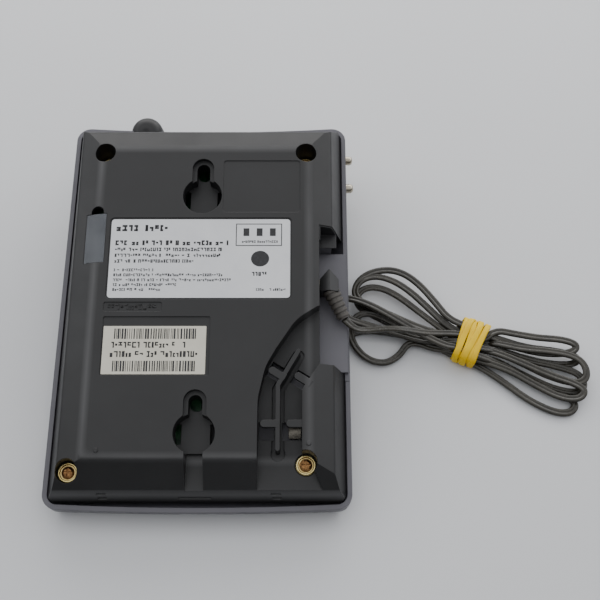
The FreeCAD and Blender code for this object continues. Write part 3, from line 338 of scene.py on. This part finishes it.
def spline_line(name, points):
    """Points along a NURBS line of order three: it starts and ends on its first and last control
    points, and the others draw it towards them."""
    curve = bpy.data.curves.new(name, "CURVE")
    curve.dimensions = "3D"
    curve.resolution_u = 10
    spline = curve.splines.new("NURBS")
    spline.points.add(len(points) - 1)
    values = np.ones((len(points), 4))
    values[:, :3] = np.array(points) * MM
    spline.points.foreach_set("co", values.ravel())
    spline.order_u = 3
    spline.use_endpoint_u = True
    holder = bpy.data.objects.new(name, curve)
    scene.collection.objects.link(holder)
    bpy.context.view_layer.update()
    mesh = bpy.data.meshes.new_from_object(holder)
    line = np.zeros(len(mesh.vertices) * 3)
    mesh.vertices.foreach_get("co", line)
    bpy.data.objects.remove(holder)
    return line.reshape(-1, 3)


def mesh_piece(name, vertices, faces, material, body="base", smooth=True):
    """A new piece from arrays of vertices and faces, riding on a body."""
    mesh = bpy.data.meshes.new(name)
    faces = faces if isinstance(faces, list) else faces.tolist()
    mesh.from_pydata(np.asarray(vertices).tolist(), [], faces)
    mesh.materials.append(material)
    mesh.polygons.foreach_set("use_smooth", [smooth] * len(mesh.polygons))
    mesh.update()
    piece = bpy.data.objects.new(name, mesh)
    scene.collection.objects.link(piece)
    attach(piece, body)
    return piece


def ring_quads(rows, ring, closed):
    """Quads between neighbouring rings of a tube, and from its last ring to its first if closed."""
    i = np.arange(rows if closed else rows - 1)[:, None]
    j = np.arange(ring)[None, :]
    k, m = (j + 1) % ring, (i + 1) % rows
    corners = [i * ring + j, i * ring + k, m * ring + k, m * ring + j]
    return np.stack(corners, axis=-1).reshape(-1, 4)


def tube_faces(rows, ring):
    """Quads along an open tube, with one polygon as a cap on each end."""
    caps = [list(range(ring))[::-1], list(range((rows - 1) * ring, rows * ring))]
    return ring_quads(rows, ring, False).tolist() + caps


def carried(line, section, wide, high):
    """Vertices of a section at each point of a line, along its wide and high directions."""
    return (line[:, None, :] + section[None, :, 0, None] * wide[:, None, :]
            + section[None, :, 1, None] * high[:, None, :]).reshape(-1, 3)


def unit(rows):
    """Each row divided by its length."""
    return rows / np.linalg.norm(rows, axis=1, keepdims=True)


def swept(line, section, roll):
    """Vertices of a section carried along a line: width lies level across the line and height
    stands square to both, then the section turns about the line by roll."""
    run = unit(np.gradient(line, axis=0))
    level = -unit(np.cross(np.array([0.0, 0.0, 1.0]), run))
    rise = np.cross(level, run)
    c, s = np.cos(roll)[:, None], np.sin(roll)[:, None]
    return carried(line, section, level * c + rise * s, rise * c - level * s)


def round_ended(width, thickness, half_angle, count):
    """Outline with a round end on each side: arcs that reach the half angle up and down."""
    radius = thickness / 2
    angles = np.linspace(-half_angle, half_angle, count)
    across = width / 2 - radius + radius * np.cos(angles)
    right = np.stack([across, radius * np.sin(angles)], axis=1)
    return np.concatenate([right, -right])


cord_line = spline_line("cord_line", plug_lead + hank_points() + adapter_lead)
steps = np.linalg.norm(np.diff(cord_line, axis=0), axis=1)
travelled = np.concatenate([[0.0], np.cumsum(steps)])

# --- cord ---------------------------------------------------------------------------------
cord_finish = Finish("taupe_flex", shade(70, 67, 58), 0.42)
cord_cloud = cord_finish.ramp(cord_finish.noise(120.0, 4.0, 0.6), 0.3, 0.7)
cord_finish.set("Base Color", cord_finish.mix(cord_cloud, shade(38, 36, 30), shade(55, 52, 44)))
cord_gloss = cord_finish.noise(300.0, 3.0)
cord_finish.set("Roughness", cord_finish.ramp(cord_gloss, 0.3, 0.7, 0.18, 0.32))
cord_finish.set("Normal", cord_finish.bump(cord_finish.noise(900.0, 2.0), 0.06 * MM, 0.5))

# Two round cores side by side: the arcs end where they meet the groove between the cores.
section = round_ended(cord_width, cord_thickness, math.radians(142.0), 11)
roll = 0.16 * np.sin(travelled / 0.031) + 0.10 * np.sin(travelled / 0.0173 + 1.0)
laid = swept(cord_line, section, roll)
laid[:, 2] = np.maximum(laid[:, 2], table_gap)       # pressed flat where it lies on the table
cord_faces = tube_faces(len(cord_line), len(section))
cord = mesh_piece("flat_cord", laid, cord_faces, cord_finish.material)
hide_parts("plug_lead", "adapter_lead", "cord_hank")

# --- rubber band --------------------------------------------------------------------------
band_finish = mottled("yellow_rubber", shade(222, 176, 20), 0.42, 90.0, shade(212, 170, 0),
                      shade(232, 196, 0), 3.0)
band_finish.set("Specular IOR Level", 0.3)
band_finish.set("Normal", band_finish.bump(band_finish.noise(500.0, 3.0), 0.08 * MM, 0.6))


band_half_width, band_half_height = 11.0, 4.15
band_middle, band_lowest = 5.15, 0.62
bundle_middle, bundle_half_height = 5.0, 4.0
strap_thickness = 1.15


def swollen(wave, half):
    """A sine wave drawn out towards its peaks, so that an ellipse becomes a rounded oblong."""
    return np.sign(wave) * np.abs(wave) ** 0.62 * half


def band_wrap(offset, skew, lean, swell, width, phase):
    """One turn of the band: a rounded oblong about the bundle, wide across and low in height,
    that slides along the strands by skew towards one side and by lean towards the top."""
    count = 96
    angle = np.linspace(0.0, 2 * math.pi, count, endpoint=False)
    side = swollen(np.cos(angle), band_half_width + swell)
    high = swollen(np.sin(angle), band_half_height + swell)
    high = np.maximum(high + band_middle, band_lowest)
    forth = (offset + skew * side / band_half_width
             + lean * (high - bundle_middle) / bundle_half_height
             + 0.25 * np.sin(3 * angle + phase))
    flat = band_centre[None, :] + forth[:, None] * along[None, :] + side[:, None] * across[None, :]
    line = np.column_stack([flat, high]) * MM
    run = unit(np.roll(line, -1, axis=0) - np.roll(line, 1, axis=0))
    out = line - np.array([*(band_centre + offset * along), bundle_middle]) * MM
    axis = np.array([*along, 0.0])
    out = unit(out - (out @ axis)[:, None] * axis)
    wide = unit(np.cross(run, out))
    outline = round_ended(width * MM, strap_thickness * MM, math.pi / 2, 5)
    vertices = carried(line, outline, wide, np.cross(wide, run))
    return vertices, ring_quads(count, len(outline), True)


wraps = [(-4.9, -0.9, 0.4, 0.45, 3.1, 0.0), (-2.9, 0.6, -0.5, 1.05, 3.2, 1.3),
         (-1.0, -0.5, 0.4, 0.6, 3.1, 2.6), (1.0, 0.7, 0.3, 1.15, 3.2, 3.9),
         (2.9, -0.5, -0.5, 0.55, 3.1, 5.0), (4.8, 0.4, 0.3, 0.95, 3.0, 6.1)]
parts = [band_wrap(*wrap) for wrap in wraps]
starts = np.cumsum([0] + [len(v) for v, f in parts[:-1]])
wrapped = np.concatenate([v for v, f in parts])
wrapped[:, 2] = np.maximum(wrapped[:, 2], table_gap)
wrap_faces = np.concatenate([f + s for (v, f), s in zip(parts, starts)])
band = mesh_piece("rubber_band_wraps", wrapped, wrap_faces, band_finish.material)
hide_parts("rubber_band")

# --- the moulded pieces -------------------------------------------------------------------
lower_plastic = moulded_plastic("charcoal_casing", shade(20, 20, 21), shade(27, 27, 28), 0.47,
                                1500.0, dust=0.22)
# Painted highlight, with lower roughness, along the plateau's rounded rim.
paint_ridge_highlight_and_polish(lower_plastic, shade(60, 60, 61), 0.36)
# Painted light: the front wall is painted lighter, in place of the light it catches.
paint_front_wall_light(lower_plastic, shade(66, 66, 67))
upper_plastic = moulded_plastic("grey_casing", shade(84, 83, 89), shade(93, 92, 98), 0.44, 1500.0)
black_plastic = moulded_plastic("black_moulding", shade(26, 26, 28), shade(34, 34, 36), 0.42,
                                1200.0)
adapter_plastic = moulded_plastic("adapter_moulding", shade(30, 30, 32), shade(40, 40, 42), 0.5,
                                  1100.0)
key_plastic = moulded_plastic("key_caps", shade(176, 177, 184), shade(190, 191, 198), 0.4, 1800.0)
plug_plastic = moulded_plastic("plug_vinyl", shade(26, 26, 27), shade(34, 34, 35), 0.4, 900.0)
sleeve_vinyl = moulded_plastic("sleeve_vinyl", shade(70, 66, 62), shade(82, 78, 73), 0.46, 900.0,
                               edge=0.3 * MM)


def metal(name, colour, patchy, roughness):
    """Plated metal: patches of a second tone, streaky polish and fine scratches."""
    finish = Finish(name, colour, roughness, metallic=1.0)
    patch = finish.ramp(finish.noise(260.0, 4.0, 0.65), 0.35, 0.65)
    finish.set("Base Color", finish.mix(patch, colour, patchy))
    streaks = finish.noise(420.0, 4.0)
    finish.set("Roughness", finish.ramp(streaks, 0.3, 0.7, roughness - 0.07, roughness + 0.1))
    rounded = finish.soft_edges(0.2 * MM)
    finish.set("Normal", finish.bump(finish.noise(1600.0, 2.0), fine_depth, 0.8, rounded))
    return finish


nickel = metal("pin_nickel", shade(196, 190, 176), shade(166, 158, 142), 0.28)
zinc = metal("zinc_steel", shade(150, 150, 146), shade(120, 120, 116), 0.36)
# Painted shade: contact nickel darker than bare nickel, for the shade in the hollow it sits in.
contact_metal_painted_shade = metal("contact_nickel", shade(112, 108, 100), shade(88, 84, 78), 0.24)
copper = metal("coil_copper", shade(150, 92, 52), shade(110, 64, 38), 0.4)
# Painted shade: tinned steel darker than bare tin plate, for the shade inside the casing.
tin_painted_shade = metal("tinned_sheet", shade(104, 104, 104), shade(84, 84, 86), 0.34)

screw_finish = Finish("plated_screw", shade(196, 168, 96), 0.26, metallic=1.0)
# Lit and shaded copies of one plating: the outer ring is painted much lighter than the middle, a
# painted highlight; the tarnish varies at random in both.
rim_share = screw_finish.node("ShaderNodeAttribute")
rim_share.attribute_name = "from_axis"
painted_ring_highlight = screw_finish.ramp(rim_share.outputs["Fac"], 0.60, 0.72)
tarnish = screw_finish.ramp(screw_finish.noise(700.0, 4.0, 0.7), 0.35, 0.65)
middle = screw_finish.mix(tarnish, shade(150, 112, 72), shade(96, 68, 44))
outer = screw_finish.mix(tarnish, shade(240, 224, 166), shade(206, 184, 116))
screw_finish.set("Base Color", screw_finish.mix(painted_ring_highlight, middle, outer))
screw_edges = screw_finish.soft_edges(0.2 * MM)
screw_finish.set("Normal", screw_finish.bump(screw_finish.noise(1500.0, 2.0), fine_depth, 0.7,
                                              screw_edges))

board_green = mottled("circuit_board", shade(38, 84, 56), 0.35, 160.0, shade(30, 72, 47),
                      shade(52, 104, 66), edges=(0.45, 0.55))
clear_window = Finish("clear_window", shade(60, 64, 68), 0.08)
window_gloss = clear_window.noise(80.0)
clear_window.set("Roughness", clear_window.ramp(window_gloss, 0.3, 0.7, 0.05, 0.12))
display_glass = mottled("display_glass", shade(110, 122, 92), 0.2, 40.0, shade(104, 116, 86),
                        shade(118, 130, 98))
lamp_red = mottled("lamp_red", shade(142, 34, 30), 0.2, 200.0, shade(128, 26, 24),
                   shade(156, 42, 36))
mat_rubber = mottled("key_mat_rubber", shade(70, 70, 72), 0.7, 150.0, shade(64, 64, 66),
                     shade(76, 76, 78))


def even_normals(mesh, crease, flat_area):
    """Corner normals. Faces of one plane weigh as one, by their joint area: a corner of a large
    flat face keeps the face's own direction, any other takes the mean of its neighbours within
    the crease."""
    count, corners = len(mesh.polygons), len(mesh.loops)
    normal = np.empty(count * 3)
    mesh.polygons.foreach_get("normal", normal)
    normal = normal.reshape(-1, 3)
    area, centre = np.empty(count), np.empty(count * 3)
    mesh.polygons.foreach_get("area", area)
    mesh.polygons.foreach_get("center", centre)
    height = (normal * centre.reshape(-1, 3)).sum(axis=1)
    key = np.round(np.column_stack([normal * 500, height * 20000])).astype(np.int64)
    plane = np.unique(key, axis=0, return_inverse=True)[1].ravel()
    weight = np.bincount(plane, area)[plane]
    sides, vertex = np.empty(count, dtype=np.int64), np.empty(corners, dtype=np.int64)
    mesh.polygons.foreach_get("loop_total", sides)
    mesh.loops.foreach_get("vertex_index", vertex)
    face = np.repeat(np.arange(count), sides)
    order = np.argsort(vertex, kind="stable")
    met = np.bincount(vertex, minlength=len(mesh.vertices))
    first = np.concatenate([[0], np.cumsum(met)[:-1]])
    share = met[vertex]
    own = np.repeat(np.arange(corners), share)
    step = np.arange(share.sum()) - np.repeat(np.cumsum(share) - share, share)
    other = order[np.repeat(first[vertex], share) + step]
    near = (normal[face[own]] * normal[face[other]]).sum(axis=1) > math.cos(math.radians(crease))
    pull = (weight[face[other]] * near)[:, None] * normal[face[other]]
    total = np.column_stack([np.bincount(own, pull[:, axis], corners) for axis in range(3)])
    total = np.where((weight[face] > flat_area)[:, None], normal[face], total)
    return total / np.maximum(np.linalg.norm(total, axis=1, keepdims=True), 1e-12)


def smooth_copy(node, name, material, body=None):
    """A merged copy of a node's mesh, evenly shaded, with creases kept above the angle."""
    angle, flat_area = 32.0, 12.0 * MM ** 2
    source = bpy.data.objects[node]
    work = bmesh.new()
    work.from_mesh(source.data)
    bmesh.ops.remove_doubles(work, verts=work.verts, dist=2e-6)
    bmesh.ops.dissolve_degenerate(work, dist=1e-6, edges=work.edges)
    mesh = bpy.data.meshes.new(name)
    work.to_mesh(mesh)
    work.free()
    for layer in [a.name for a in mesh.attributes if "normal" in a.name or "sharp" in a.name]:
        mesh.attributes.remove(mesh.attributes[layer])
    mesh.materials.clear()
    mesh.materials.append(material)
    mesh.polygons.foreach_set("material_index", np.zeros(len(mesh.polygons), dtype=np.int32))
    mesh.polygons.foreach_set("use_smooth", np.ones(len(mesh.polygons), dtype=bool))
    mesh.normals_split_custom_set(even_normals(mesh, angle, flat_area))
    piece = bpy.data.objects.new(name, mesh)
    scene.collection.objects.link(piece)
    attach(piece, body or "base")
    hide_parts(node)
    return piece


node_slots = {part["node"]: part["material_slot"] for part in frame["record"]["subparts"]}
slot_finish = {
    "lower_casing_plastic": lower_plastic, "upper_casing_plastic": upper_plastic,
    "key_plastic": key_plastic, "case_screw_steel": screw_finish, "black_moulding": black_plastic,
    "plug_black": plug_plastic, "sleeve_vinyl": sleeve_vinyl, "adapter_plastic": adapter_plastic,
    "pin_nickel": nickel, "contact_nickel": contact_metal_painted_shade, "small_screw_steel": zinc,
    "tinned_steel": tin_painted_shade, "core_steel": zinc, "coil_copper": copper, "circuit_board": board_green,
    "display_window": clear_window, "display_glass": display_glass, "lamp_lens": lamp_red,
    "speaker_black": black_plastic, "key_rubber": mat_rubber,
}
members_of = frame["record"]["behaviour"]["bodies"]
bodies_of = {node: body for body, members in members_of.items() for node in members}
special = {"rating_label", "serial_label", "seal_sticker", "plug_lead", "adapter_lead",
           "cord_hank", "rubber_band"}
finished = {}
for node in sorted(frame["nodes"]):
    if node not in special:
        finish = slot_finish[node_slots[node]]
        finished[node] = smooth_copy(node, node + "_piece", finish.material, body=bodies_of[node])

# The screws' painted light runs out from each screw's own axis: painted highlight on the outer
# ring.
screws = finished["case_screws"].data
screw_head_radius = 4.7 * MM
points = np.zeros(len(screws.vertices) * 3)
screws.vertices.foreach_get("co", points)
points = points.reshape(-1, 3)
flat_y = (points[:, 1] - forward) * math.cos(tilt) + (points[:, 2] - lift) * math.sin(tilt)
wells = np.array([(-49.3, 70.8), (49.3, 70.8), (-57.4, -84.2), (49.0, -80.9)]) * MM
from_wells = np.hypot(points[:, None, 0] - wells[None, :, 0], flat_y[:, None] - wells[None, :, 1])
layer = screws.attributes.new("from_axis", "FLOAT", "POINT")
layer.data.foreach_set("value", from_wells.min(axis=1) / screw_head_radius)


# --- labels -------------------------------------------------------------------------------
def on_plateau(points):
    """Plateau places (mm: x, y, height over the plateau) to the table's frame."""
    x, y, z = (np.asarray(points, float) * MM).T
    y, z = (y * math.cos(slope) - z * math.sin(slope),
            y * math.sin(slope) + z * math.cos(slope) + plateau)
    return np.column_stack([x, y * math.cos(tilt) - z * math.sin(tilt) + forward,
                            y * math.sin(tilt) + z * math.cos(tilt) + lift])


def blocks(name, spans, material, under, over):
    """Thin blocks on the plateau, one for each span of left, right, near and far edge, from the
    under height to the over height."""
    spans = np.asarray(spans, float)
    pick_x, pick_y = [0, 1, 1, 0, 0, 1, 1, 0], [2, 2, 3, 3, 2, 2, 3, 3]
    heights = np.broadcast_to(np.array([under] * 4 + [over] * 4), (len(spans), 8))
    corners = np.stack([spans[:, pick_x], spans[:, pick_y], heights], axis=-1)
    sides = np.array([(3, 2, 1, 0), (4, 5, 6, 7), (0, 1, 5, 4), (1, 2, 6, 5), (2, 3, 7, 6),
                      (3, 0, 4, 7)])
    faces = (sides[None, :, :] + 8 * np.arange(len(spans))[:, None, None]).reshape(-1, 4)
    mesh_piece(name, on_plateau(corners.reshape(-1, 3)), faces, material, smooth=False)


def label_film(name, light, dark, roughness):
    """Printed film: a faint mottle of a darker tone, uneven gloss and very fine bumps."""
    finish = Finish(name, light, roughness)
    mottle = finish.ramp(finish.noise(70.0, 4.0, 0.6), 0.35, 0.75)
    finish.set("Base Color", finish.mix(mottle, light, dark))
    gloss = finish.noise(200.0, 3.0)
    finish.set("Roughness", finish.ramp(gloss, 0.3, 0.7, roughness - 0.06, roughness + 0.06))
    finish.set("Normal", finish.bump(finish.noise(500.0, 2.0), fine_depth, 0.5))
    return finish


white_film = label_film("white_film", shade(214, 215, 217), shade(205, 206, 209), 0.42)
cream_film = label_film("cream_film", shade(208, 204, 190), shade(198, 194, 179), 0.48)
ink = mottled("black_print", shade(34, 34, 38), 0.5, 900.0, shade(18, 18, 21), shade(36, 36, 40),
              3.0)
smooth_copy("rating_label", "rating_label_piece", white_film.material)
smooth_copy("serial_label", "serial_label_piece", cream_film.material)

chance = np.random.default_rng(7)
print_under, print_over = -0.295, -0.27        # heights over the plateau, mm


def marks(start, end, y, height, share, mean, weight=0.26):
    """A row of small marks with gaps, as a line of print looks from afar. A mark has up to three
    strokes of its outline, as wide as the weight's share of its height."""
    spans, x = [], start
    while x < end:
        width = mean * chance.uniform(0.45, 1.05)
        if chance.random() < share:
            low = y - height / 2 + height * chance.choice([0.0, 0.0, 0.35])
            high = y + height / 2 - height * chance.choice([0.0, 0.0, 0.3])
            stroke = height * weight
            kind = chance.integers(0, 5)
            right = min(x + width, end)
            if kind in (0, 1, 2):
                spans.append((x, x + stroke, low, high))
            if kind in (1, 2, 3):
                spans.append((right - stroke, right, low, high))
            if kind in (0, 1, 3, 4):
                spans.append((x, right, high - stroke, high))
            if kind in (0, 2, 4):
                spans.append((x, right, low, low + stroke))
            if kind == 4:
                spans.append((x + width * 0.4, x + width * 0.4 + stroke, low, high))
        x += width + mean * (0.28 if chance.random() < 0.84 else 0.95)
    return spans


label_left, label_top = -43.7, 34.95
rating = []
for start, end, down, height, mean in (
        (2.4, 28.0, 4.6, 3.2, 2.5), (2.4, 56.0, 12.2, 2.5, 1.9), (2.4, 53.0, 15.6, 1.8, 1.3),
        (2.4, 52.0, 18.6, 1.7, 1.3), (2.4, 42.0, 21.5, 1.7, 1.3), (2.4, 20.5, 26.0, 1.4, 1.05),
        (2.4, 54.0, 28.5, 1.4, 1.05), (2.4, 57.5, 31.0, 1.4, 1.05), (2.4, 32.0, 33.4, 1.4, 1.05),
        (2.4, 24.5, 35.8, 1.4, 1.05), (62.5, 79.5, 11.6, 1.2, 0.9), (67.5, 75.0, 28.0, 2.0, 1.5),
        (69.5, 83.2, 35.8, 1.2, 0.95)):
    weight = 0.31 if height > 2.4 else 0.27
    rating += marks(label_left + start, label_left + end, label_top - down, height, 0.95, mean,
                    weight)
# A frame of thin rules with three squares in it.
left, right, top, low = label_left + 59.5, label_left + 81.5, label_top - 2.3, label_top - 13.8
rule = 0.42
rating += [(left, right, top - rule, top), (left, right, low, low + rule),
           (left, left + rule, low, top), (right - rule, right, low, top)]
rating += [(left + s, left + s + 2.8, top - 6.4, top - 2.4) for s in (3.6, 9.9, 16.2)]
blocks("rating_print", rating, ink.material, print_under, print_over)

# Bars of chance widths, once along the label's top and once, turned round, along its bottom.
serial_left, serial_top = -44.05, -18.75
bars, x = [], serial_left + 5.0
while x < serial_left + 43.0:
    width = float(chance.choice([0.3, 0.3, 0.55, 0.8]))
    bars.append((x, min(x + width, serial_left + 43.2)))
    x += width + float(chance.choice([0.3, 0.45, 0.7]))
serial = [(a, b, serial_top - 6.2, serial_top - 1.2) for a, b in bars]
serial += [(a, b, serial_top - 21.6, serial_top - 16.6) for a, b in bars[::-1]]
for start, end, down in ((4.0, 38.0, 9.0), (3.6, 43.5, 13.4)):
    serial += marks(serial_left + start, serial_left + end, serial_top - down, 2.8, 0.95, 1.8, 0.22)
blocks("serial_print", serial, ink.material, print_under, print_over)

count = 40
turn = np.linspace(0.0, 2 * math.pi, count, endpoint=False)
disc = np.column_stack([label_left + 71.2 + 4.3 * np.cos(turn),
                        label_top - 20.3 + 4.0 * np.sin(turn)])
rings = [np.column_stack([disc, np.full(count, z)]) for z in (print_under, print_over)]
mesh_piece("round_print", on_plateau(np.concatenate(rings)), tube_faces(2, count), ink.material,
           smooth=False)

# Raised strokes in the small recess over the serial label.
strokes = marks(-43.0, -20.0, -9.4, 2.6, 0.96, 2.2)
blocks("raised_strokes", strokes, lower_plastic.material, -0.4, -0.16)

seal_film = mottled("seal_film", shade(100, 104, 110), 0.35, 90.0, shade(92, 96, 102),
                    shade(116, 120, 126), 3.0)
seal_film.set("Alpha", 0.42)
smooth_copy("seal_sticker", "seal_sticker_piece", seal_film.material)
